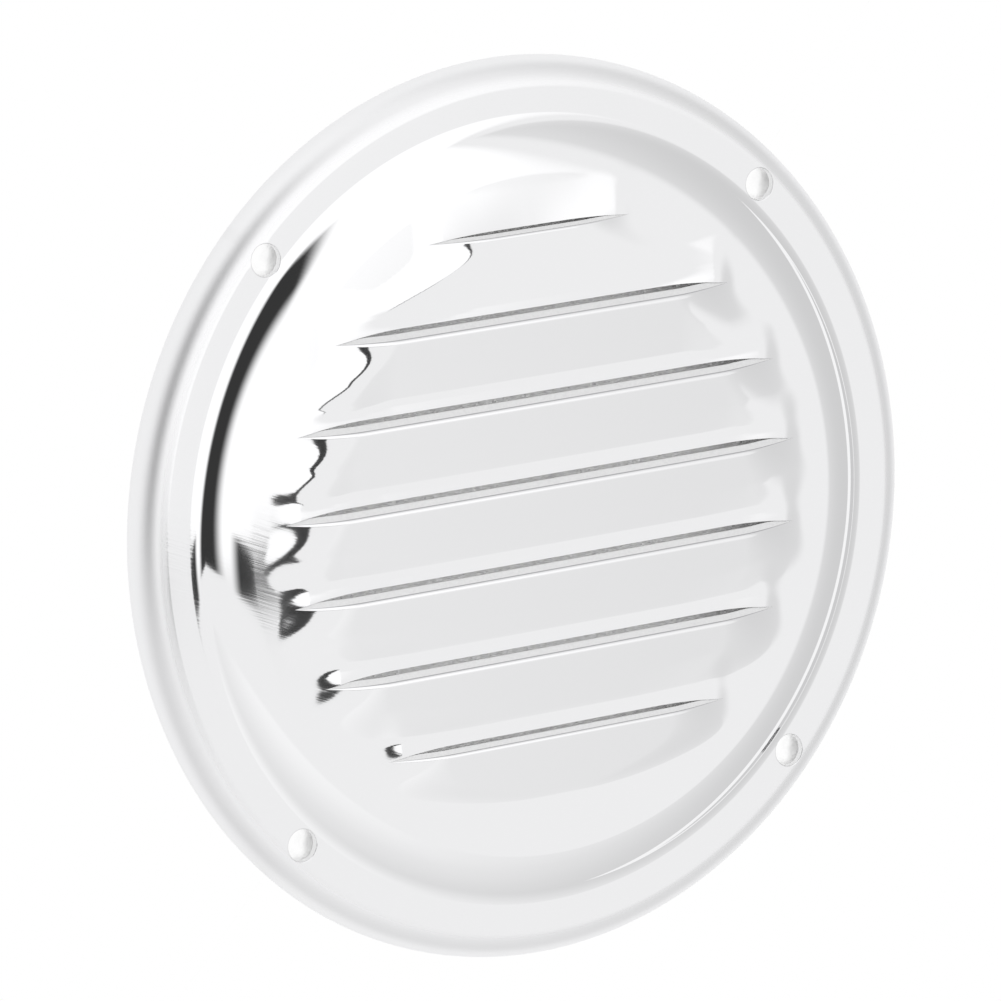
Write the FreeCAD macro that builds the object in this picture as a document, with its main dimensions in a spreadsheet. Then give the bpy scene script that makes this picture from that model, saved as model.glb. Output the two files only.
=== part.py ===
import FreeCAD, Part
import Sketcher
import math
import os

# Round louvred vent cover pressed from one disc of bright stainless sheet.
# The cover lies face up: its turned-down rim stands on z = 0, +Z is the front
# and the louvres run along X.

doc = FreeCAD.newDocument("round_vent_cover")

# Driving dimensions, in millimetres and degrees
DIMENSIONS = {
    "outer_radius": 63.5,
    "sheet_thickness": 1.0,
    "rim_radius": 3.8,
    "flange_inner_radius": 55.8,
    "foot_radius": 3.2,
    "shoulder_radius": 13.5,
    "panel_height": 7.1,
    "hole_circle_radius": 57.75,
    "hole_diameter": 4.6,
    "hole_count": 4,
    "hole_angle": 45,
    "louvre_count": 7,
    "louvre_pitch": 11.8,
    "first_slit": 40.0,
    "slit_circle_radius": 42.4,
    "slit_circle_offset": 1.0,
    "lip_height": 1.5,
    "lip_run": 9.0,
    "lip_setback": 0.4,
    "lip_underside": 0.5,
    "shear_depth": 0.8,
    "upper_setback": 1.05,
    "first_opening": 0.6,
    "last_opening": 0.8,
}

sizes = doc.addObject("Spreadsheet::Sheet", "Sizes")
for row, (alias, value) in enumerate(DIMENSIONS.items(), start=1):
    sizes.set(f"A{row}", alias)
    sizes.set(f"B{row}", str(value))
    sizes.setAlias(f"B{row}", alias)
doc.recompute()


def size(alias):
    return float(sizes.get(alias))


def origin_feature(body, role):
    for feature in body.Origin.OriginFeatures:
        if feature.Role == role:
            return feature
    raise RuntimeError("no origin feature " + role)


def flat_sketch(body, name, role):
    sketch = body.newObject("Sketcher::SketchObject", name)
    sketch.AttachmentSupport = (origin_feature(body, role), [""])
    sketch.MapMode = "FlatFace"
    return sketch


def point(x, y):
    return FreeCAD.Vector(x, y, 0)


def arc(centre, radius, start, end):
    circle = Part.Circle(centre, FreeCAD.Vector(0, 0, 1), radius)
    return Part.ArcOfCircle(circle, math.radians(start), math.radians(end))


START = 1
END = 2
CENTRE = 3
X_AXIS = -1
Y_AXIS = -2


def dimension(sketch, formula, *arguments):
    value = float(sketch.evalExpression(formula))
    index = sketch.addConstraint(Sketcher.Constraint(*arguments, value))
    sketch.setExpression(f"Constraints[{index}]", formula)


def bend_corners(centre_x, centre_z, radius, first, last, flats):
    """Corner formulas of a bend drawn in short flats, with angles from straight up."""
    corners = []
    for step in range(flats + 1):
        turn = f"({first} + {step} / {flats} * ({last} - {first}))"
        corners.append((f"{centre_x} + {radius} * sin({turn})", f"{centre_z} + {radius} * cos({turn})"))
    return corners


def corner_lines(sketch, corners):
    """Lines from corner to corner, each corner held by its two formulas."""
    places = [point(*(float(sketch.evalExpression(formula)) for formula in corner)) for corner in corners]
    lines = [sketch.addGeometry(Part.LineSegment(a, b)) for a, b in zip(places, places[1:])]
    for line, following in zip(lines, lines[1:]):
        sketch.addConstraint(Sketcher.Constraint("Coincident", line, END, following, START))
    ends = [(line, START) for line in lines] + [(lines[-1], END)]
    for end, (x_formula, z_formula) in zip(ends, corners):
        dimension(sketch, x_formula, "DistanceX", X_AXIS, START, *end)
        dimension(sketch, z_formula, "DistanceY", X_AXIS, START, *end)
    return lines


# The pressed disc: its front is one half section turned about Z. Panel, shoulder,
# foot and flange run into each other; the rim's quarter round is drawn in flats
# that stay within 0.05 mm of it.
body = doc.addObject("PartDesign::Body", "PressedDisc")
front = flat_sketch(body, "FrontSection", "XZ_Plane")

BENDS = "(Sizes.foot_radius + Sizes.shoulder_radius)"
WALL = f"acos(1 - (Sizes.panel_height - Sizes.rim_radius) / {BENDS})"
SHOULDER_X = f"(Sizes.flange_inner_radius - {BENDS} * sin({WALL}))"
RIM_X = "(Sizes.outer_radius - Sizes.rim_radius)"
FRONT_RIM_FLATS = 5
BACK_RIM_FLATS = 3
BACK_SHOULDER_FLATS = 3
BACK_FOOT_FLATS = 2

outer = size("outer_radius")
rim = size("rim_radius")
foot = size("foot_radius")
shoulder = size("shoulder_radius")
top = size("panel_height")
flange_inner = size("flange_inner_radius")
wall_slope = math.degrees(math.acos(1 - (top - rim) / (foot + shoulder)))
flat = flange_inner - (foot + shoulder) * math.sin(math.radians(wall_slope))

panel_line = front.addGeometry(Part.LineSegment(point(0, top), point(flat, top)))
shoulder_arc = front.addGeometry(arc(point(flat, top - shoulder), shoulder, 90 - wall_slope, 90))
foot_arc = front.addGeometry(arc(point(flange_inner, rim + foot), foot, 270 - wall_slope, 270))
flange_line = front.addGeometry(Part.LineSegment(point(flange_inner, rim), point(outer - rim, rim)))
rim_front = bend_corners(RIM_X, "0", "Sizes.rim_radius", "0 deg", "90 deg", FRONT_RIM_FLATS)
rim_lines = corner_lines(front, rim_front)
base_line = front.addGeometry(Part.LineSegment(point(outer, 0), point(0, 0)))
axis_line = front.addGeometry(Part.LineSegment(point(0, 0), point(0, top)))

front.addConstraint(Sketcher.Constraint("Coincident", axis_line, START, X_AXIS, START))
front.addConstraint(Sketcher.Constraint("PointOnObject", axis_line, END, Y_AXIS))
front.addConstraint(Sketcher.Constraint("Coincident", axis_line, END, panel_line, START))
front.addConstraint(Sketcher.Constraint("Horizontal", panel_line))
front.addConstraint(Sketcher.Constraint("Tangent", panel_line, END, shoulder_arc, END))
front.addConstraint(Sketcher.Constraint("Tangent", shoulder_arc, START, foot_arc, START))
front.addConstraint(Sketcher.Constraint("Tangent", foot_arc, END, flange_line, START))
front.addConstraint(Sketcher.Constraint("Coincident", flange_line, END, rim_lines[0], START))
front.addConstraint(Sketcher.Constraint("Horizontal", flange_line))
front.addConstraint(Sketcher.Constraint("Coincident", rim_lines[-1], END, base_line, START))
front.addConstraint(Sketcher.Constraint("Coincident", base_line, END, X_AXIS, START))
dimension(front, "Sizes.flange_inner_radius", "DistanceX", X_AXIS, START, flange_line, START)
dimension(front, "Sizes.foot_radius", "Radius", foot_arc)
dimension(front, "Sizes.shoulder_radius", "Radius", shoulder_arc)
dimension(front, "Sizes.panel_height", "DistanceY", axis_line, START, axis_line, END)
doc.recompute()

blank = body.newObject("PartDesign::Revolution", "Blank")
blank.Profile = front
blank.ReferenceAxis = (front, ["V_Axis"])
blank.Angle = 360
doc.recompute()

# The hollow behind it leaves one sheet thickness, its bends drawn in flats too
SHOULDER_Z = "(Sizes.panel_height - Sizes.shoulder_radius)"
SHOULDER_BACK = "(Sizes.shoulder_radius - Sizes.sheet_thickness)"
FOOT_Z = "(Sizes.rim_radius + Sizes.foot_radius)"
FOOT_BACK = "(Sizes.foot_radius + Sizes.sheet_thickness)"
RIM_BACK = "(Sizes.rim_radius - Sizes.sheet_thickness)"

shoulder_back = bend_corners(SHOULDER_X, SHOULDER_Z, SHOULDER_BACK, "0 deg", WALL, BACK_SHOULDER_FLATS)
foot_back = bend_corners(
    "Sizes.flange_inner_radius", FOOT_Z, FOOT_BACK, f"(180 deg + {WALL})", "180 deg", BACK_FOOT_FLATS
)
rim_back = bend_corners(RIM_X, "0", RIM_BACK, "0 deg", "90 deg", BACK_RIM_FLATS)
axis_top = [("0", "Sizes.panel_height - Sizes.sheet_thickness")]

hollow = flat_sketch(body, "HollowSection", "XZ_Plane")
back_lines = corner_lines(hollow, axis_top + shoulder_back + foot_back[1:] + rim_back)
hollow_base = hollow.addGeometry(Part.LineSegment(point(outer, 0), point(0, 0)))
hollow_axis = hollow.addGeometry(Part.LineSegment(point(0, 0), point(0, top)))
hollow.addConstraint(Sketcher.Constraint("Coincident", back_lines[-1], END, hollow_base, START))
hollow.addConstraint(Sketcher.Constraint("Coincident", hollow_base, END, X_AXIS, START))
hollow.addConstraint(Sketcher.Constraint("Coincident", hollow_axis, START, X_AXIS, START))
hollow.addConstraint(Sketcher.Constraint("Coincident", hollow_axis, END, back_lines[0], START))
doc.recompute()

sheet = body.newObject("PartDesign::Groove", "Sheet")
sheet.Profile = hollow
sheet.ReferenceAxis = (hollow, ["V_Axis"])
sheet.Angle = 360
doc.recompute()
METAL_LEFT = 0.3
if sheet.Shape.Volume > METAL_LEFT * blank.Shape.Volume:
    raise RuntimeError("the hollow was not cut from the blank")

# Screw holes through the flange
hole_sketch = flat_sketch(body, "ScrewHole", "XY_Plane")
HOLE_X = "Sizes.hole_circle_radius * cos(Sizes.hole_angle * 1 deg)"
HOLE_Y = "Sizes.hole_circle_radius * sin(Sizes.hole_angle * 1 deg)"
hole_centre = point(*(float(hole_sketch.evalExpression(formula)) for formula in (HOLE_X, HOLE_Y)))
hole_circle = Part.Circle(hole_centre, FreeCAD.Vector(0, 0, 1), size("hole_diameter") / 2)
hole = hole_sketch.addGeometry(hole_circle)
dimension(hole_sketch, "Sizes.hole_diameter", "Diameter", hole)
dimension(hole_sketch, HOLE_X, "DistanceX", X_AXIS, START, hole, CENTRE)
dimension(hole_sketch, HOLE_Y, "DistanceY", X_AXIS, START, hole, CENTRE)

drilled = body.newObject("PartDesign::Pocket", "FirstHole")
drilled.Profile = hole_sketch
drilled.Type = "ThroughAll"
drilled.Reversed = True
doc.recompute()

holes = body.newObject("PartDesign::PolarPattern", "ScrewHoles")
holes.Originals = [drilled]
holes.Axis = (origin_feature(body, "Z_Axis"), [""])
holes.Angle = 360
holes.setExpression("Occurrences", "Sizes.hole_count")
body.Tip = holes
doc.recompute()

hole_volume = math.pi * size("hole_diameter") ** 2 / 4 * size("sheet_thickness")
drilled_out = sheet.Shape.Volume - holes.Shape.Volume
VOLUME_TOLERANCE = 1.0
if abs(drilled_out - size("hole_count") * hole_volume) > VOLUME_TOLERANCE:
    raise RuntimeError("screw holes did not cut through the flange")

# Louvres: below each slit the sheet is raised to a lip, above it the panel stays
# flat. Each raised form is a solid whose outer face is the new front of the
# sheet; it is added to the disc and cut again one sheet thickness deeper.
COVER = 0.5
OVERLAP = 0.05
END_DEPTH = 3 * OVERLAP
SLIT_REACH = 5.0
CREST_POLES = [(-1, 0), (-0.95, 4 / 3), (0.95, 4 / 3), (1, 0)]
thickness = size("sheet_thickness")
pitch = size("louvre_pitch")
count = int(size("louvre_count"))
lip_run = size("lip_run")


def chord(y):
    drop = y - size("slit_circle_offset")
    return math.sqrt(max(size("slit_circle_radius") ** 2 - drop ** 2, 0))


def crest_line(half_length, y, rise):
    """An arch that leaves its ends steeply and is nearly level along the middle."""
    poles = []
    for across, share in CREST_POLES:
        height = share * (rise + END_DEPTH) - END_DEPTH
        poles.append(FreeCAD.Vector(across * half_length, y, top + height))
    curve = Part.BezierCurve()
    curve.setPoles(poles)
    return curve.toShape()


def arched_wire(half_length, y, rise):
    """The crest closed by a base inside the sheet."""
    crest = crest_line(half_length, y, rise)
    left = crest.Vertexes[0].Point
    right = crest.Vertexes[-1].Point
    low_left = FreeCAD.Vector(left.x, y, top - COVER)
    low_right = FreeCAD.Vector(right.x, y, top - COVER)
    base_corners = [right, low_right, low_left, left]
    sides = [Part.makeLine(a, b) for a, b in zip(base_corners, base_corners[1:])]
    return Part.Wire([crest] + sides)


def opening(index):
    if index == 0:
        return size("first_opening")
    if index == count - 1:
        return size("last_opening")
    return 1.0


def slit_arc(index, middle):
    """A curve from end to end of a slit that stands off its line by the given amount in the middle."""
    slit = size("first_slit") - index * pitch
    half = chord(slit)
    places = [(-half, slit), (0, slit + middle * opening(index)), (half, slit)]
    return Part.Arc(*(FreeCAD.Vector(x, y, top - SLIT_REACH) for x, y in places)).toShape()


def through_sheet(edges):
    """A prism on the given closed outline that reaches well past both faces of the sheet."""
    face = Part.Face(Part.Wire(Part.__sortEdges__(edges)))
    return face.extrude(FreeCAD.Vector(0, 0, 2 * SLIT_REACH))


def past_lip(index):
    """All that lies past the lip's under edge, where the raised form has to stop."""
    low = slit_arc(index, size("lip_underside"))
    left = low.Vertexes[0].Point
    right = low.Vertexes[-1].Point
    aside = FreeCAD.Vector(SLIT_REACH, 0, 0)
    beyond = FreeCAD.Vector(0, SLIT_REACH, 0)
    corners = [right, right + aside, right + aside + beyond, left - aside + beyond, left - aside, left]
    return through_sheet([low] + [Part.makeLine(a, b) for a, b in zip(corners, corners[1:])])


def raised_lip(index):
    """The strip below a slit, highest at the slit and back at panel level one lip run lower."""
    slit = size("first_slit") - index * pitch
    share = opening(index)
    edge = slit + size("lip_underside")
    fold = slit - lip_run
    lip_slope = size("lip_height") * share / (lip_run - size("lip_setback"))
    at_slit = arched_wire(chord(slit), edge, lip_slope * (edge - fold))
    at_fold = arched_wire(chord(fold), fold, -OVERLAP)
    return Part.makeLoft([at_slit, at_fold], True, True).cut(past_lip(index))


def slit_lens(index):
    """The lens-shaped gap from the lip's under edge to the panel's edge, right through the sheet."""
    return through_sheet([slit_arc(index, size("lip_underside")), slit_arc(index, size("upper_setback"))])


def sheared_corner(index):
    """What the slanted shear takes off the front of the lip."""
    slit = size("first_slit") - index * pitch
    share = opening(index)
    half = chord(slit)
    lip_top = top + size("lip_height") * share
    lip_edge = slit - size("lip_setback") * share
    under = slit + size("lip_underside") + OVERLAP
    shear_foot = lip_top - size("shear_depth")
    above = lip_top + thickness
    outline = [(lip_edge, lip_top), (under, shear_foot), (under, above), (lip_edge, above)]
    points = [FreeCAD.Vector(-half, y, z) for y, z in outline]
    return Part.Face(Part.makePolygon(points + points[:1])).extrude(FreeCAD.Vector(2 * half, 0, 0))


def tool(name, shapes, drop=0):
    feature = doc.addObject("Part::Feature", name)
    feature.Shape = Part.makeCompound(shapes)
    feature.Placement = FreeCAD.Placement(FreeCAD.Vector(0, 0, -drop), FreeCAD.Rotation())
    return feature


lips = [raised_lip(index) for index in range(count)]
slits = [slit_lens(index) for index in range(count)]
corners = [sheared_corner(index) for index in range(count)]

raised = tool("RaisedLips", lips)
lip_hollows = tool("LipHollows", lips, thickness)
slit_gaps = tool("SlitGaps", slits)
sheared = tool("ShearedCorners", corners)

formed = doc.addObject("Part::MultiFuse", "FormedFront")
formed.Shapes = [body, raised]
removed = doc.addObject("Part::Compound", "RemovedForms")
removed.Links = [lip_hollows, slit_gaps, sheared]
cover = doc.addObject("Part::Cut", "VentCover")
cover.Base = formed
cover.Tool = removed
cover.Refine = True
cover.Label = "vent_cover"
doc.recompute()

# Nothing is written unless every object is sound
for item in doc.Objects:
    if {"Invalid", "Error"} & set(item.State):
        raise RuntimeError("failed: " + item.Name)
if cover.Shape.isNull() or not cover.Shape.isValid() or len(cover.Shape.Solids) != 1:
    raise RuntimeError("the cover is not one sound solid")

# Pressing and slitting hardly change how much metal the disc holds
METAL_CHANGE = 0.03
if abs(cover.Shape.Volume / holes.Shape.Volume - 1) > METAL_CHANGE:
    raise RuntimeError("the louvres changed the sheet's volume")

os.makedirs("parts", exist_ok=True)
for node in [cover]:
    node.Shape.exportStep("parts/" + node.Label + ".step")
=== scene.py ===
import math

import bpy
import numpy as np
from mathutils import Matrix, Vector
from mathutils.geometry import delaunay_2d_cdt


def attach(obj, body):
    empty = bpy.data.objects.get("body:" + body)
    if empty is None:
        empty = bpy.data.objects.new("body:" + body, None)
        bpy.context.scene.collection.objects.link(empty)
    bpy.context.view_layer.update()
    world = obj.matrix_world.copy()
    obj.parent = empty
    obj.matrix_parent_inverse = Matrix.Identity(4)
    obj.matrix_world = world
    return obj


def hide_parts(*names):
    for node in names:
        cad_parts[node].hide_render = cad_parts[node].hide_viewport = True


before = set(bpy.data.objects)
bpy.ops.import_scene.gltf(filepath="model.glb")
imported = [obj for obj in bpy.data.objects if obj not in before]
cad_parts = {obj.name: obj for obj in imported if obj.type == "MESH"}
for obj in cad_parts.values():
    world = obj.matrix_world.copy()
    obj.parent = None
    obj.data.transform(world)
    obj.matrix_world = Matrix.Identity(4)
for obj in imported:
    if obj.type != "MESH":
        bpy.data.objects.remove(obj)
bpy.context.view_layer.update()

# Sizes of the pressed cover in millimetres. They are the part's own, except that the slits' edges and slopes
# differ by up to 0.2, and the outer radius is 0.02 less, so that the round rim stays inside the flats of the
# part's mesh. A hair is the least length that counts.
MM = 0.001
HAIR = 0.001
OUTER = 63.48
SHEET = 1.0
RIM = 3.8
FLANGE_INNER = 55.8
FOOT = 3.2
WALL = math.radians(36.6)
PANEL = 7.1
CROWN = 0.45
HOLE_CIRCLE = 57.75
HOLE_RADIUS = 2.3
HOLE_TURNS = [45, 135, 225, 315]
SLIT_COUNT = 7
PITCH = 11.8
FIRST_SLIT = 40.0
SLIT_CIRCLE = 42.4
SLIT_OFFSET = 1.0
LIP_HEIGHT = 1.5
LIP_RUN = 8.8
LIP_SETBACK = 0.4
LIP_UNDERSIDE = 0.4
UPPER_SETBACK = 0.95
SQUARE_STEP = 0.1
FIRST_OPENING = 0.6
LAST_OPENING = 0.8

# The panel is crowned a little and runs into the shoulder's round at the crown's own slope
CROWN_EDGE = 47.4
CROWN_SLOPE = math.atan(2 * CROWN / CROWN_EDGE)
SHOULDER_DROP = PANEL - CROWN - RIM - FOOT * (1 - math.cos(WALL))
SHOULDER = SHOULDER_DROP / (math.cos(CROWN_SLOPE) - math.cos(WALL))
INFLECTION = FLANGE_INNER - FOOT * math.sin(WALL)
FLAT = INFLECTION - SHOULDER * (math.sin(WALL) - math.sin(CROWN_SLOPE))

# The flange eases into the rim's round; the plan's net ends on the round at the plan edge
EASE_START = 59.2
EASE_END = 59.95
EASE_RADIUS = 12.0
EASE_SLOPE = math.asin((EASE_END - EASE_START) / EASE_RADIUS)
RIM_ROUND = (OUTER - EASE_END) / (1 - math.sin(EASE_SLOPE))
RIM_CENTRE = OUTER - RIM_ROUND
RIM_LEVEL = RIM - EASE_RADIUS * (1 - math.cos(EASE_SLOPE)) - RIM_ROUND * math.cos(EASE_SLOPE)
PLAN_EDGE = 61.2

SLIT_LINES = FIRST_SLIT - PITCH * np.arange(SLIT_COUNT)
OPENINGS = np.array([FIRST_OPENING] + [1.0] * (SLIT_COUNT - 2) + [LAST_OPENING])


def circle_height(radius, centre, level, bend):
    """Height of a round whose centre stands at the given radius and level; a negative bend curves upward."""
    return level + math.copysign(1, bend) * np.sqrt(np.maximum(bend**2 - (radius - centre) ** 2, 0))


def section_height(radius):
    """Front of the plain pressed disc: panel, shoulder, foot, flange and the rim's beginning."""
    crown = PANEL - CROWN * (radius / FLAT) ** 2
    shoulder_centre = FLAT - SHOULDER * math.sin(CROWN_SLOPE)
    shoulder_level = PANEL - CROWN - SHOULDER * math.cos(CROWN_SLOPE)
    shoulder = circle_height(radius, shoulder_centre, shoulder_level, SHOULDER)
    foot = circle_height(radius, FLANGE_INNER, RIM + FOOT, -FOOT)
    ease = circle_height(radius, EASE_START, RIM - EASE_RADIUS, EASE_RADIUS)
    rim = circle_height(radius, RIM_CENTRE, RIM_LEVEL, RIM_ROUND)
    height = np.where(radius < FLAT, crown, shoulder)
    height = np.where(radius > INFLECTION, foot, height)
    height = np.where(radius > FLANGE_INNER, RIM, height)
    height = np.where(radius > EASE_START, ease, height)
    return np.where(radius > EASE_END, rim, height)


# Beyond the circle a chord is taken as very short
SMALLEST_SQUARE = 0.01


def chord(y):
    """Half the length of a louvre at height y: all louvres end on one circle."""
    return np.sqrt(np.maximum(SLIT_CIRCLE**2 - (y - SLIT_OFFSET) ** 2, SMALLEST_SQUARE))


def smooth_share(value):
    """From 0 to 1 with level ends."""
    share = np.clip(value, 0, 1)
    return share**2 * (3 - 2 * share)


def soft_positive(value, softness):
    """Nothing below zero, the value above it, with a rounded bend between."""
    bend = np.clip(value + softness, 0, 2 * softness)
    return bend**2 / (4 * softness) + np.maximum(value - softness, 0)


# A louvre fades out along its slit and runs on a little past the slit's ends as a low bump. Between its lip
# and the valley it reaches out by a small bulge. The sheet above the slit keeps a small share of the height,
# more of it towards the slit's ends, where both sides meet.
FADE_INSIDE = 9.5
FADE_OUTSIDE = 2.4
TIP_RUN = 16.0
CREST_RUN = 9.0
UPPER_RUN = 6.0
UPPER_SHARE = 0.03
UPPER_END_SHARE = 0.24
UPPER_SOFTNESS = 0.13
TONGUE_BULGE = 1.4
BULGE_PEAK = 27 / 4  # brings the bulge's curve to 1 at its highest
CREST_ROUND = 0.3
END_ROUND = 1.0
VALLEY_SOFTNESS = 0.07


def ridge(distance, run, crest):
    """Share of a ridge's height beside its crest: rounded on top, then straight down into a soft valley."""
    fall = np.sqrt(distance**2 + crest**2) - crest
    return soft_positive(1 - fall / run, VALLEY_SOFTNESS)


def fade(past_end):
    """Share of a louvre's height along its slit, from the distance past the slit's end."""
    return 1 - smooth_share((past_end + FADE_INSIDE) / (FADE_INSIDE + FADE_OUTSIDE))


def louvre_height(x, y, strip):
    """How far the front stands off the panel; strip 0 is above the first slit."""
    rise = np.zeros_like(x)
    for index, slit in enumerate(SLIT_LINES):
        height = LIP_HEIGHT * OPENINGS[index]
        past_end = np.abs(x) - chord(slit)
        ending = smooth_share(1 + past_end / TIP_RUN)
        crest = CREST_ROUND + END_ROUND * smooth_share(1 + past_end / CREST_RUN)
        below = np.clip((slit - y) / LIP_RUN, 0, 1)
        bulge = BULGE_PEAK * TONGUE_BULGE * below**2 * (1 - below)
        bulge += (chord(y) - chord(slit)) * smooth_share(below)
        lip = height * fade(past_end - bulge) * ridge(slit - y, LIP_RUN, crest)
        kept = UPPER_SHARE + (UPPER_END_SHARE - UPPER_SHARE) * ending
        kept = fade(past_end) - soft_positive(fade(past_end) - kept, UPPER_SOFTNESS)
        upper = height * kept * ridge(y - slit, UPPER_RUN, crest)
        rise += np.where(strip == index + 1, lip, 0) + np.where(strip == index, upper, 0)
    return rise


def strip_of(y):
    """Number of slits that lie above each place."""
    return np.sum(y[:, None] < SLIT_LINES[None, :], axis=1)


def front_height(x, y, strip):
    """Height of the cover's front over the floor."""
    return section_height(np.hypot(x, y)) + louvre_height(x, y, strip)


SLOPE_STEP = 0.02


def front_normal(x, y, strip):
    """Direction square to the front, from its slopes."""
    rise_x = front_height(x + SLOPE_STEP, y, strip) - front_height(x - SLOPE_STEP, y, strip)
    rise_y = front_height(x, y + SLOPE_STEP, strip) - front_height(x, y - SLOPE_STEP, strip)
    slope_x = rise_x / (2 * SLOPE_STEP)
    slope_y = rise_y / (2 * SLOPE_STEP)
    normal = np.stack([-slope_x, -slope_y, np.ones_like(x)], axis=1)
    return normal / np.linalg.norm(normal, axis=1)[:, None]


# Outlines in the plan: rim ring, screw holes and slits
RING_STEPS = 360
HOLE_STEPS = 48
SLIT_STEPS = 100
SLIT_TAPER = 11.0
TIP_GAP = 0.05
GAP_RISE = 1.4
GAP_START = 0.2
EDGE_ROUND = 0.12
ROLL = 0.7

ring_turns = np.arange(RING_STEPS) * 2 * math.pi / RING_STEPS
ring_out = np.stack([np.cos(ring_turns), np.sin(ring_turns), np.zeros(RING_STEPS)], axis=1)
hole_edge = HOLE_RADIUS + EDGE_ROUND
hole_turns = np.arange(HOLE_STEPS) * 2 * math.pi / HOLE_STEPS
hole_out = np.stack([np.cos(hole_turns), np.sin(hole_turns), np.zeros(HOLE_STEPS)], axis=1)
hole_centres = []
for degrees in HOLE_TURNS:
    turn = math.radians(degrees)
    hole_centres.append(HOLE_CIRCLE * np.array([math.cos(turn), math.sin(turn), 0]))
slit_across = np.sin(np.linspace(-math.pi / 2, math.pi / 2, SLIT_STEPS + 1))


def slit_curves(index):
    """Lines along one slit: x, share of the full opening, lip line, lip's under edge and upper edge."""
    slit = SLIT_LINES[index]
    x = slit_across * chord(slit)
    inside = np.clip((chord(slit) - np.abs(x)) / SLIT_TAPER, 0, 1)
    share = OPENINGS[index] * inside * (2 - inside)
    lip = slit - (LIP_SETBACK + ROLL) * share
    upper = slit + UPPER_SETBACK * share
    gap = TIP_GAP + (UPPER_SETBACK - LIP_UNDERSIDE - TIP_GAP) * smooth_share(GAP_RISE * inside - GAP_START)
    under = upper - gap * share
    return x, share, lip, under, upper


slits = [slit_curves(number) for number in range(SLIT_COUNT)]

# Plan points: outlines first, then a fine net on the panel and rings on the bends
plan = []
loops = {}


def add_loop(name, places):
    """Adds an outline's points to the plan and keeps their numbers under its name."""
    start = len(plan)
    plan.extend(map(tuple, places[:, :2].tolist()))
    loops[name] = np.arange(start, len(plan))


add_loop("ring", PLAN_EDGE * ring_out)
for number, centre in enumerate(hole_centres):
    add_loop(f"hole_{number}", centre + hole_edge * hole_out)
for number, (x, _, lip, _, upper) in enumerate(slits):
    add_loop(f"lip_{number}", np.column_stack([x, lip]))
    add_loop(f"upper_{number}", np.column_stack([x, upper])[1:-1])

edges = []
for name in ["ring"] + [f"hole_{number}" for number in range(len(hole_centres))]:
    loop = loops[name].tolist()
    edges += list(zip(loop, loop[1:] + loop[:1]))
for number in range(SLIT_COUNT):
    lip_loop = loops[f"lip_{number}"].tolist()
    upper_loop = [lip_loop[0]] + loops[f"upper_{number}"].tolist() + [lip_loop[-1]]
    edges += list(zip(lip_loop, lip_loop[1:])) + list(zip(upper_loop, upper_loop[1:]))

PANEL_NET = 0.5
NET_ROW = PANEL_NET * math.sqrt(0.75)  # rows of even-sided triangles
BEND_RINGS = 22
FLANGE_RINGS = 6
RIM_RINGS = 7
panel_edge = FLAT - PANEL_NET
inner = []
for row_number, y in enumerate(np.arange(-panel_edge, panel_edge, NET_ROW)):
    columns = np.arange(-panel_edge, panel_edge, PANEL_NET) + (row_number % 2) * PANEL_NET / 2
    columns = columns[np.hypot(columns, y) < panel_edge]
    inner.append(np.stack([columns, np.full_like(columns, y)], axis=1))
ring_radii = np.concatenate(
    [
        np.linspace(FLAT, FLANGE_INNER, BEND_RINGS),
        np.linspace(FLANGE_INNER, EASE_START, FLANGE_RINGS)[1:],
        np.linspace(EASE_START, PLAN_EDGE, RIM_RINGS)[1:-1],
    ]
)
for radius in ring_radii:
    inner.append(radius * ring_out[:, :2])
inner = np.concatenate(inner)


def in_openings(places, hole_radius, margin):
    """Which places lie within that radius of a screw hole's centre, or in a slit or its margin."""
    found = np.zeros(len(places), dtype=bool)
    for centre in hole_centres:
        found |= np.hypot(*(places - centre[:2]).T) <= hole_radius
    for x, _, lip, _, upper in slits:
        low = np.interp(places[:, 0], x, lip) - margin
        high = np.interp(places[:, 0], x, upper) + margin
        beside = np.abs(places[:, 0]) < x[-1] + margin
        found |= beside & (places[:, 1] > low) & (places[:, 1] < high)
    return found


CLEARANCE = 0.2
MERGE_DISTANCE = 1e-7
clear = ~in_openings(inner, hole_edge + CLEARANCE, CLEARANCE)
plan.extend(map(tuple, inner[clear].tolist()))

# The net fills the openings too, so its faces there are left out; a hole's outline is made of short flats
net = delaunay_2d_cdt([Vector(place) for place in plan], edges, [], 0, MERGE_DISTANCE)
plan = np.array([tuple(place) for place in net[0]])
triangles = np.array(net[2])
middle = plan[triangles].mean(axis=1)
hole_flat = hole_edge * math.cos(math.pi / HOLE_STEPS) - HAIR
keep = np.hypot(middle[:, 0], middle[:, 1]) < PLAN_EDGE
keep &= ~in_openings(middle, hole_flat, 0)
triangles = triangles[keep]

# The sheet as one closed mesh with the exact normal at every face corner
POLISHED = 0
SHEARED = 1
# painted shade: the darker line along each lip's rolled edge
PAINTED_SHADE_LINE = 2
UP = np.array([0.0, 0.0, 1.0])
verts = []
faces = []
corner_normals = []
face_materials = []


def add_verts(points):
    """Adds points to the mesh and gives their numbers."""
    start = len(verts)
    verts.extend(points.tolist())
    return np.arange(start, len(verts))


def add_face(corners, normals, material):
    """One face turned the way its normals point; corners that fall together count once."""
    unique = [k for k in range(len(corners)) if corners[k] != corners[k - 1]]
    if len(unique) < 3:
        return
    corners = [int(corners[k]) for k in unique]
    normals = [normals[k] for k in unique]
    a, b, c = (np.array(verts[corner]) for corner in corners[:3])
    if np.dot(np.cross(b - a, c - a), normals[0] + normals[1] + normals[2]) < 0:
        corners.reverse()
        normals.reverse()
    faces.append(corners)
    corner_normals.extend(normals)
    face_materials.append(material)


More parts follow.
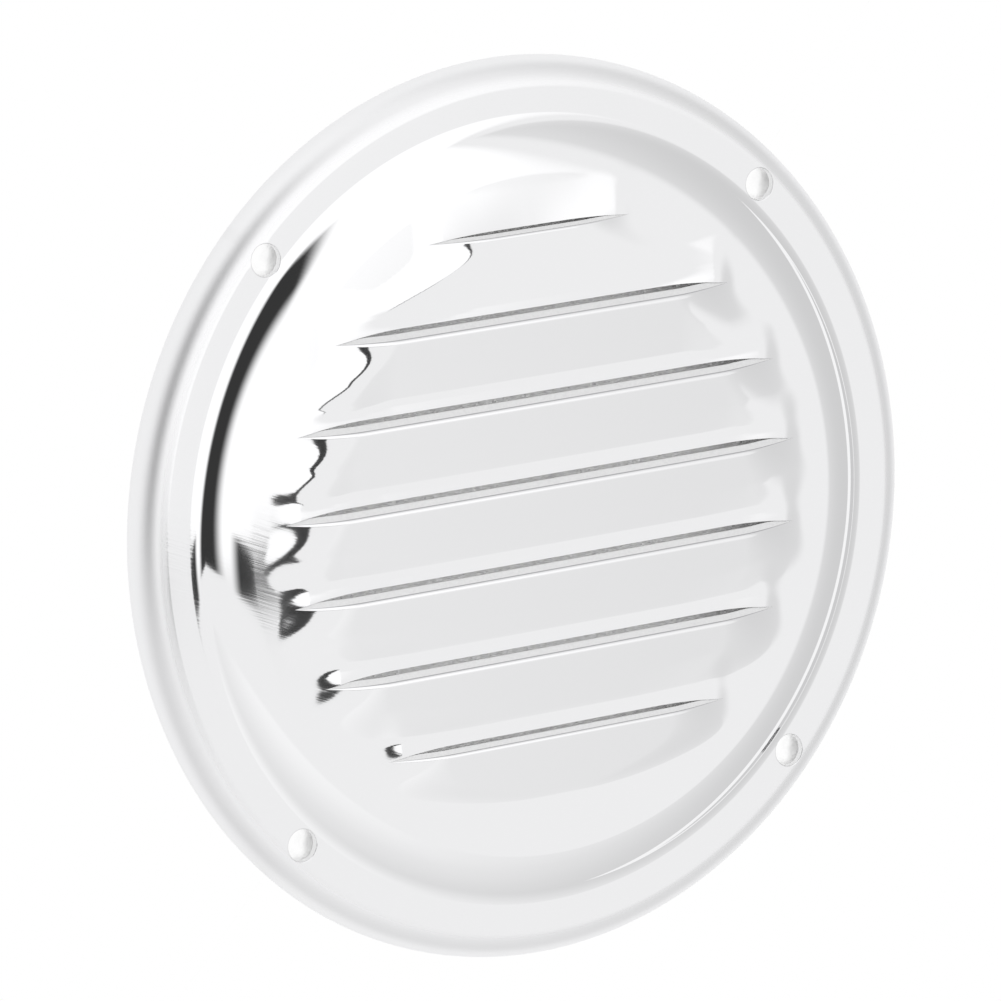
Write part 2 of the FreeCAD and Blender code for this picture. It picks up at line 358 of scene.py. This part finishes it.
def add_band(first, second, first_normals, second_normals, material, closed):
    """Faces between two lines of points that run side by side."""
    count = len(first)
    for k in range(count if closed else count - 1):
        n = (k + 1) % count
        corners = [first[k], first[n], second[n], second[k]]
        normals = [first_normals[k], first_normals[n], second_normals[n], second_normals[k]]
        add_face(corners, normals, material)


strips = strip_of(plan[:, 1])
for number in range(SLIT_COUNT):
    strips[loops[f"lip_{number}"]] = number + 1
    strips[loops[f"upper_{number}"]] = number
front = np.column_stack([plan, front_height(plan[:, 0], plan[:, 1], strips)])
front_normals = front_normal(plan[:, 0], plan[:, 1], strips)

# The back lies one sheet thickness inside: straight down behind the louvres, square to the sheet in the bends
BEND_MARGIN = 1
back_plan = plan.copy()
for number, (_, _, _, under, _) in enumerate(slits):
    back_plan[loops[f"lip_{number}"], 1] = under
for number, centre in enumerate(hole_centres):
    back_plan[loops[f"hole_{number}"]] = (centre + HOLE_RADIUS * hole_out)[:, :2]
back = np.column_stack([back_plan, front_height(back_plan[:, 0], back_plan[:, 1], strips) - SHEET])
back_normals = -front_normal(back_plan[:, 0], back_plan[:, 1], strips)
in_bends = np.hypot(plan[:, 0], plan[:, 1]) > FLAT - BEND_MARGIN
for number in range(len(hole_centres)):
    in_bends[loops[f"hole_{number}"]] = False
back[in_bends] = front[in_bends] - SHEET * front_normals[in_bends]

front_index = add_verts(front)
back_index = add_verts(back)
for triangle in triangles:
    add_face(front_index[triangle], list(front_normals[triangle]), POLISHED)
    add_face(back_index[triangle], list(back_normals[triangle]), POLISHED)

# Turned-down rim: one round outside and inside, plain cut edge at the back
RIM_STEPS = 12
RIM_START = math.asin((PLAN_EDGE - RIM_CENTRE) / RIM_ROUND)


def rim_rings(round_radius, start_index, facing):
    """Bands down one side of the rim's round, from the plan edge to the floor; gives the last ring."""
    last = start_index
    last_normals = facing * (ring_out * math.sin(RIM_START) + UP * math.cos(RIM_START))
    end = math.acos(-RIM_LEVEL / round_radius)
    for turn in np.linspace(RIM_START, end, RIM_STEPS + 1)[1:]:
        out = ring_out * math.sin(turn) + UP * math.cos(turn)
        line = add_verts(ring_out * RIM_CENTRE + UP * RIM_LEVEL + out * round_radius)
        add_band(last, line, last_normals, out * facing, POLISHED, True)
        last, last_normals = line, out * facing
    return last


outer_edge = rim_rings(RIM_ROUND, front_index[loops["ring"]], 1)
inner_edge = rim_rings(RIM_ROUND - SHEET, back_index[loops["ring"]], -1)
down = np.tile(-UP, (RING_STEPS, 1))
add_band(outer_edge, inner_edge, down, down, SHEARED, True)

# Screw holes: a slightly rounded front edge, then a plain bore
BORE_STEPS = 3
for number, centre in enumerate(hole_centres):
    loop = loops[f"hole_{number}"]
    last = front_index[loop]
    last_normals = front_normals[loop]
    level = front[loop] - EDGE_ROUND * UP
    for turn in np.linspace(0, math.pi / 2, BORE_STEPS + 1)[1:]:
        normals = -hole_out * math.sin(turn) + UP * math.cos(turn)
        line = add_verts(level + normals * EDGE_ROUND)
        add_band(last, line, last_normals, normals, POLISHED, True)
        last, last_normals = line, normals
    add_band(last, back_index[loop], -hole_out, -hole_out, SHEARED, True)

# Slit edges: the lip rolls over to a darker line of painted shade, then shows its slanted sheared face and a
# last square step; the upper edge is cut square
ROLL_STEPS = 10
SHADE_LINE_ROWS = 2
ROLL_TURN_SHARE = 0.62
ROLL_FALL = 1.2
SHEAR_FALL = 0.6


def place_row(x, y, z, tips):
    """Vertices of one line along a slit, its two ends taken from the tips."""
    places = np.column_stack([x, y, z])[1:-1]
    return np.concatenate([[tips[0]], add_verts(places), [tips[1]]])


def unit_rows(rows):
    """Each row at length 1."""
    return rows / np.linalg.norm(rows, axis=1)[:, None]


for number, (x, share, lip, under, _) in enumerate(slits):
    lip_loop = loops[f"lip_{number}"]
    lip_line = front_index[lip_loop]
    back_line = back_index[lip_loop]
    front_tips = (lip_line[0], lip_line[-1])
    back_tips = (back_line[0], back_line[-1])
    lip_z = front[lip_loop, 2]
    lip_normals = front_normals[lip_loop]
    slope_x, slope_y = (-lip_normals[:, :2] / lip_normals[:, 2:]).T
    turn_y = lip + ROLL_TURN_SHARE * ROLL * share
    turn_z = lip_z + slope_y * (turn_y - lip)
    end_y = lip + ROLL * share
    end_z = turn_z - ROLL_FALL * (end_y - turn_y)
    last, last_normals = lip_line, lip_normals
    for row_number, step in enumerate(np.linspace(0, 1, ROLL_STEPS + 1)[1:]):
        before, after = (1 - step) * ROLL_TURN_SHARE, step * (1 - ROLL_TURN_SHARE)
        y = (1 - step) ** 2 * lip + 2 * step * (1 - step) * turn_y + step**2 * end_y
        z = (1 - step) ** 2 * lip_z + 2 * step * (1 - step) * turn_z + step**2 * end_z
        line = place_row(x, y, z, front_tips)
        roll_slope = (before * slope_y - after * ROLL_FALL) / (before + after)
        normals = unit_rows(np.column_stack([-slope_x, -roll_slope, np.ones_like(x)]))
        # the last rows of the roll take a darker colour: painted shade along the lip
        material = POLISHED if row_number < ROLL_STEPS - SHADE_LINE_ROWS else PAINTED_SHADE_LINE
        add_band(last, line, last_normals, normals, material, False)
        last, last_normals = line, normals
    foot_z = np.maximum(back[lip_loop, 2] + SQUARE_STEP, end_z - SHEAR_FALL * (under - end_y))
    foot_line = place_row(x, under, foot_z, back_tips)
    face_run = np.maximum(under - end_y, HAIR)
    face_normals = unit_rows(np.column_stack([np.zeros_like(x), end_z - foot_z, face_run]))
    add_band(last, foot_line, face_normals, face_normals, SHEARED, False)
    square = np.tile([0.0, 1.0, 0.0], (len(x), 1))
    add_band(foot_line, back_line, square, square, SHEARED, False)

    upper_loop = loops[f"upper_{number}"]
    upper_line = np.concatenate([[front_tips[0]], front_index[upper_loop], [front_tips[1]]])
    upper_back = np.concatenate([[back_tips[0]], back_index[upper_loop], [back_tips[1]]])
    add_band(upper_line, upper_back, -square, -square, SHEARED, False)


# Materials
def linear(colour):
    """Linear RGBA of an sRGB hex colour."""
    channels = [int(colour[k : k + 2], 16) / 255 for k in (1, 3, 5)]
    return [c / 12.92 if c <= 0.04045 else ((c + 0.055) / 1.055) ** 2.4 for c in channels] + [1]


def add_node(tree, kind, inputs=None, **settings):
    """One node with its settings; each input is a plain value or another node's output."""
    node = tree.nodes.new(kind)
    for name, value in settings.items():
        setattr(node, name, value)
    for socket, value in (inputs or {}).items():
        if isinstance(value, bpy.types.NodeSocket):
            tree.links.new(value, node.inputs[socket])
        else:
            node.inputs[socket].default_value = value
    return node


def new_material(name):
    """A material with no nodes yet."""
    material = bpy.data.materials.new(name)
    material.use_nodes = True
    material.node_tree.nodes.clear()
    return material


# Marks of the metal's making, in millimetres; real buffing lines are too fine to show, so these are drawn
# as coarse as they need to be
BUFF_TURN = math.radians(23)
BUFF_WIDTH = 0.3
BUFF_LENGTH = 12.0
BUFF_DEPTH = 0.001
HAZE_SIZE = 18.0
SHEAR_MARK = 0.35

# Roughness of the metal's finishes; the haze in patches adds to the mirror's
MIRROR_ROUGHNESS = 0.03
PATCH_ROUGHNESS = 0.03
DRAWN_ROUGHNESS = 0.42
SHEARED_ROUGHNESS = 0.35
# roughness of the darker line of painted shade along each lip
SHADE_LINE_ROUGHNESS = 0.3


def buffed_stainless():
    """Bright stainless sheet, rolled and buffed: a clear mirror with faint slanting buffing lines, patches of
    handling haze, and a stronger haze where the rim was drawn."""
    material = new_material("buffed_stainless_sheet")
    tree = material.node_tree
    place = add_node(tree, "ShaderNodeTexCoord").outputs["Object"]
    plan_place = add_node(
        tree, "ShaderNodeVectorMath", {0: place, 1: (1, 1, 0)}, operation="MULTIPLY"
    ).outputs["Vector"]
    radius = add_node(tree, "ShaderNodeVectorMath", {0: plan_place}, operation="LENGTH").outputs["Value"]
    drawn_haze = add_node(
        tree,
        "ShaderNodeMapRange",
        {
            "Value": radius,
            "From Min": EASE_START * MM,
            "From Max": PLAN_EDGE * MM,
            "To Min": MIRROR_ROUGHNESS,
            "To Max": DRAWN_ROUGHNESS,
        },
    ).outputs["Result"]
    patches = add_node(
        tree, "ShaderNodeTexNoise", {"Vector": plan_place, "Scale": 1 / (HAZE_SIZE * MM), "Detail": 3.0}
    ).outputs["Fac"]
    haze = add_node(
        tree, "ShaderNodeMath", {0: patches, 1: PATCH_ROUGHNESS, 2: drawn_haze}, operation="MULTIPLY_ADD"
    ).outputs["Value"]
    turned = add_node(
        tree, "ShaderNodeVectorRotate", {"Vector": plan_place, "Angle": BUFF_TURN}, rotation_type="Z_AXIS"
    ).outputs["Vector"]
    stretched = add_node(
        tree,
        "ShaderNodeVectorMath",
        {0: turned, 1: (1 / (BUFF_LENGTH * MM), 1 / (BUFF_WIDTH * MM), 0)},
        operation="MULTIPLY",
    ).outputs["Vector"]
    lines = add_node(
        tree, "ShaderNodeTexNoise", {"Vector": stretched, "Scale": 1.0, "Detail": 2.0}
    ).outputs["Fac"]
    buffed = add_node(
        tree, "ShaderNodeBump", {"Height": lines, "Strength": 1.0, "Distance": BUFF_DEPTH * MM}
    ).outputs["Normal"]
    metal = add_node(
        tree,
        "ShaderNodeBsdfPrincipled",
        {"Base Color": linear("#F5F5F6"), "Metallic": 1.0, "Roughness": haze, "Normal": buffed},
    )
    add_node(tree, "ShaderNodeOutputMaterial", {"Surface": metal.outputs["BSDF"]})
    return material


def sheared_stainless():
    """The sheet's cut edge: dull metal with short darker marks left along the cut by the shear."""
    material = new_material("sheared_stainless_edge")
    tree = material.node_tree
    place = add_node(tree, "ShaderNodeTexCoord").outputs["Object"]
    marks = add_node(
        tree, "ShaderNodeTexNoise", {"Vector": place, "Scale": 1 / (SHEAR_MARK * MM), "Detail": 2.0}
    ).outputs["Fac"]
    tone = add_node(
        tree,
        "ShaderNodeMix",
        {"Factor": marks, "A": linear("#E4E4E5"), "B": linear("#F8F8F8")},
        data_type="RGBA",
    ).outputs["Result"]
    metal = add_node(
        tree,
        "ShaderNodeBsdfPrincipled",
        {"Base Color": tone, "Metallic": 1.0, "Roughness": SHEARED_ROUGHNESS},
    )
    add_node(tree, "ShaderNodeOutputMaterial", {"Surface": metal.outputs["BSDF"]})
    return material


def shade_line_stainless():
    """Painted shade: a thin darker line along each lip, where the rolled edge turns into the cut face."""
    material = new_material("painted_shade_line_stainless")
    tree = material.node_tree
    metal = add_node(
        tree,
        "ShaderNodeBsdfPrincipled",
        {"Base Color": linear("#BEBEC0"), "Metallic": 1.0, "Roughness": SHADE_LINE_ROUGHNESS},
    )
    add_node(tree, "ShaderNodeOutputMaterial", {"Surface": metal.outputs["BSDF"]})
    return material


# The cover in metres, its materials in the order of the face numbers above
mesh = bpy.data.meshes.new("pressed_cover")
mesh.from_pydata([[c * MM for c in vert] for vert in verts], [], faces)
mesh.materials.append(buffed_stainless())
mesh.materials.append(sheared_stainless())
# the third material is the darker line of painted shade along each lip
mesh.materials.append(shade_line_stainless())
mesh.polygons.foreach_set("material_index", face_materials)
mesh.polygons.foreach_set("use_smooth", [True] * len(faces))
mesh.normals_split_custom_set([normal.tolist() for normal in corner_normals])
mesh.update()
cover = bpy.data.objects.new("pressed_cover", mesh)
bpy.context.collection.objects.link(cover)
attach(cover, "root")
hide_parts("vent_cover")

# Pale floor in matt paint, rolled on: an even white with no shine. The camera and the metal see it as a white
# glow with painted shadow, darker only under and close beside the cover, as far as the cover hides the sky
# from it. Lengths are in metres.
FLOOR_REACH = 3.0
SHADOW_REACH = 0.06
SHADOW_SAMPLES = 8
OPEN_SHARE = 0.13
DEEPEST_SHADOW = 0.05
floor_mesh = bpy.data.meshes.new("floor")
floor_corners = [(-1, -1), (1, -1), (1, 1), (-1, 1)]
floor_mesh.from_pydata([(FLOOR_REACH * x, FLOOR_REACH * y, 0) for x, y in floor_corners], [], [(0, 1, 2, 3)])
floor = bpy.data.objects.new("floor", floor_mesh)
bpy.context.collection.objects.link(floor)
floor_paint = new_material("matt_floor_paint")
floor_tree = floor_paint.node_tree
matt_paint = add_node(
    floor_tree, "ShaderNodeBsdfPrincipled", {"Base Color": linear("#FAFAFA"), "Roughness": 0.9}
).outputs["BSDF"]
open_sky = add_node(
    floor_tree, "ShaderNodeAmbientOcclusion", {"Distance": SHADOW_REACH}, samples=SHADOW_SAMPLES
).outputs["AO"]
# painted shadow: the glow's strength falls where the cover hides the sky from the floor
painted_shadow = add_node(
    floor_tree,
    "ShaderNodeMapRange",
    {"Value": open_sky, "From Min": 0.0, "From Max": OPEN_SHARE, "To Min": DEEPEST_SHADOW, "To Max": 1.0},
    interpolation_type="SMOOTHSTEP",
).outputs["Result"]
white = add_node(floor_tree, "ShaderNodeEmission", {"Strength": painted_shadow}).outputs["Emission"]
path = add_node(floor_tree, "ShaderNodeLightPath").outputs
seen = path["Is Camera Ray"]
for ray in ("Is Glossy Ray", "Is Transmission Ray"):
    seen = add_node(floor_tree, "ShaderNodeMath", {0: seen, 1: path[ray]}, operation="MAXIMUM").outputs[0]
floor_face = add_node(floor_tree, "ShaderNodeMixShader", {0: seen, 1: matt_paint, 2: white}).outputs["Shader"]
add_node(floor_tree, "ShaderNodeOutputMaterial", {"Surface": floor_face})
floor_mesh.materials.append(floor_paint)

# Light tent, drawn by direction: grey walls, a white panel overhead with a dark frame along its foot, and the
# dark gap that the camera looks through
LOWEST_RISE = 0.1
FRAME_SLANT = -0.018
FRAME_SLOPE = 0.13
OVERHEAD_MIDDLE = (-0.073, 0.416, 0.906)
world = bpy.data.worlds.new("light_tent")
bpy.context.scene.world = world
world.use_nodes = True
sky = world.node_tree
sky.nodes.clear()
sky_place = add_node(sky, "ShaderNodeTexCoord").outputs["Generated"]
sky_axes = add_node(sky, "ShaderNodeSeparateXYZ", {0: sky_place}).outputs
rise = add_node(sky, "ShaderNodeMath", {0: sky_axes["Z"], 1: LOWEST_RISE}, operation="MAXIMUM").outputs[0]
slanted = add_node(
    sky, "ShaderNodeVectorMath", {0: sky_place, 1: (FRAME_SLANT, 1, 0)}, operation="DOT_PRODUCT"
).outputs["Value"]
sloped = add_node(
    sky, "ShaderNodeVectorMath", {0: sky_place, 1: (FRAME_SLOPE, 1, 0)}, operation="DOT_PRODUCT"
).outputs["Value"]
behind = add_node(
    sky, "ShaderNodeVectorMath", {0: sky_place, 1: (-1, -1, 1)}, operation="MULTIPLY"
).outputs["Vector"]
behind_axes = add_node(sky, "ShaderNodeSeparateXYZ", {0: behind}).outputs
radians_turn = add_node(
    sky, "ShaderNodeMath", {0: behind_axes["Y"], 1: behind_axes["X"]}, operation="ARCTAN2"
).outputs[0]
radians_up = add_node(sky, "ShaderNodeMath", {0: sky_axes["Z"]}, operation="ARCSINE").outputs[0]

# How a direction is measured: its reach to the right, its place on a level ceiling (across, and along or
# sloping with the frame's foot and top), its turn from the left and its height in degrees, and how near it is
# to the white panel's middle
tent = {
    "right": sky_axes["X"],
    "across": add_node(sky, "ShaderNodeMath", {0: sky_axes["X"], 1: rise}, operation="DIVIDE").outputs[0],
    "sloping": add_node(sky, "ShaderNodeMath", {0: sloped, 1: rise}, operation="DIVIDE").outputs[0],
    "along": add_node(sky, "ShaderNodeMath", {0: slanted, 1: rise}, operation="DIVIDE").outputs[0],
    "turn": add_node(sky, "ShaderNodeMath", {0: radians_turn}, operation="DEGREES").outputs[0],
    "up": add_node(sky, "ShaderNodeMath", {0: radians_up}, operation="DEGREES").outputs[0],
    "overhead": add_node(
        sky, "ShaderNodeVectorMath", {0: sky_place, 1: OVERHEAD_MIDDLE}, operation="DOT_PRODUCT"
    ).outputs["Value"],
}

# Walls: brightness by height
walls = add_node(sky, "ShaderNodeValToRGB", {"Fac": sky_axes["Z"]})
TENT_WALL_STOPS = [(0.0, 0.74), (0.34, 0.79), (0.64, 0.86), (0.77, 0.92), (0.866, 0.98), (0.94, 1.01)]
while len(walls.color_ramp.elements) < len(TENT_WALL_STOPS):
    walls.color_ramp.elements.new(0.5)
for stop, (place, level) in zip(walls.color_ramp.elements, TENT_WALL_STOPS):
    stop.position = place
    stop.color = (level, level, level, 1)
light = walls.outputs["Color"]

# Each patch of the tent, laid over the ones before it: its brightness, and the soft edges that bound it, each
# from nothing to full. In order: the wall on the right, the ceiling, the glow beside the white panel, the
# panel, its frame, the camera's gap, the wall below the gap, and the bright foot of that wall.
WHITE = 1.12
FRAME_RIGHT = 0.572
FRAME_TOP = -0.144
FRAME_FOOT = -0.236
PATCHES = [
    (0.67, [("right", 0.3, 1.1)]),
    (0.93, [("along", -0.52, -0.47), ("across", 1.1, 0.85)]),
    (WHITE, [("overhead", 0.655, 0.70), ("along", -0.232, -0.147), ("across", 0.74, 0.61)]),
    (
        WHITE,
        [
            ("across", FRAME_RIGHT + 0.02, FRAME_RIGHT - 0.02),
            ("sloping", FRAME_TOP - 0.005, FRAME_TOP + 0.005),
        ],
    ),
    (
        0.05,
        [
            ("along", FRAME_FOOT - 0.005, FRAME_FOOT + 0.005),
            ("sloping", FRAME_TOP + 0.003, FRAME_TOP - 0.003),
            ("across", FRAME_RIGHT + 0.012, FRAME_RIGHT - 0.012),
            ("across", -0.15, 0.12),
        ],
    ),
    (
        0.04,
        [
            ("up", 73, 58),
            ("up", 36, 40),
            ("turn", -86, -72),
            ("turn", 60, 40),
            ("along", -0.222, -0.212),
        ],
    ),
    (0.68, [("turn", -75, -45), ("turn", 60, 35), ("up", 38, 33), ("up", 18, 24)]),
    (1.08, [("turn", -60, -40), ("turn", 25, 5), ("up", 20, 14)]),
]
for level, bounds in PATCHES:
    mask = 1.0
    for name, start, end in bounds:
        falling = float(start > end)
        span = {
            "From Min": min(start, end),
            "From Max": max(start, end),
            "To Min": falling,
            "To Max": 1 - falling,
        }
        edge = add_node(
            sky, "ShaderNodeMapRange", {"Value": tent[name], **span}, interpolation_type="SMOOTHSTEP"
        ).outputs["Result"]
        mask = add_node(sky, "ShaderNodeMath", {0: mask, 1: edge}, operation="MULTIPLY").outputs[0]
    light = add_node(sky, "ShaderNodeMix", {"Factor": mask, "A": light, "B": level}).outputs["Result"]
background = add_node(sky, "ShaderNodeBackground", {"Color": (1, 1, 1, 1), "Strength": light}).outputs[0]
add_node(sky, "ShaderNodeOutputWorld", {"Surface": background})

# Camera at the photograph's angle, with lengths in millimetres
AZIMUTH = math.radians(-32.38)
ELEVATION = math.radians(10.48)
CAMERA_ROLL = math.radians(-3.32)
DISTANCE = 1234.3
FOCAL_PIXELS = 8862
IMAGE_PIXELS = 1001
CENTRE_PIXEL = (533.7, 511.0)
SENSOR_WIDTH = 36
to_camera = Vector(
    (
        math.sin(AZIMUTH) * math.cos(ELEVATION),
        math.sin(ELEVATION),
        math.cos(AZIMUTH) * math.cos(ELEVATION),
    )
)
level_right = Vector((math.cos(AZIMUTH), 0, -math.sin(AZIMUTH)))
level_up = to_camera.cross(level_right)
camera_right = math.cos(CAMERA_ROLL) * level_right + math.sin(CAMERA_ROLL) * level_up
camera_up = -math.sin(CAMERA_ROLL) * level_right + math.cos(CAMERA_ROLL) * level_up
pixel = DISTANCE / FOCAL_PIXELS
aim = Vector((0, 0, RIM))
aim -= camera_right * (CENTRE_PIXEL[0] - IMAGE_PIXELS / 2) * pixel
aim += camera_up * (CENTRE_PIXEL[1] - IMAGE_PIXELS / 2) * pixel
camera_data = bpy.data.cameras.new("camera")
camera_data.sensor_width = SENSOR_WIDTH
camera_data.lens = FOCAL_PIXELS / IMAGE_PIXELS * SENSOR_WIDTH
camera = bpy.data.objects.new("camera", camera_data)
bpy.context.collection.objects.link(camera)
axes = Matrix((camera_right, camera_up, to_camera)).transposed()
camera.matrix_world = Matrix.Translation((aim + to_camera * DISTANCE) * MM) @ axes.to_4x4()
bpy.context.scene.camera = camera

bpy.context.scene.view_settings.view_transform = "Standard"
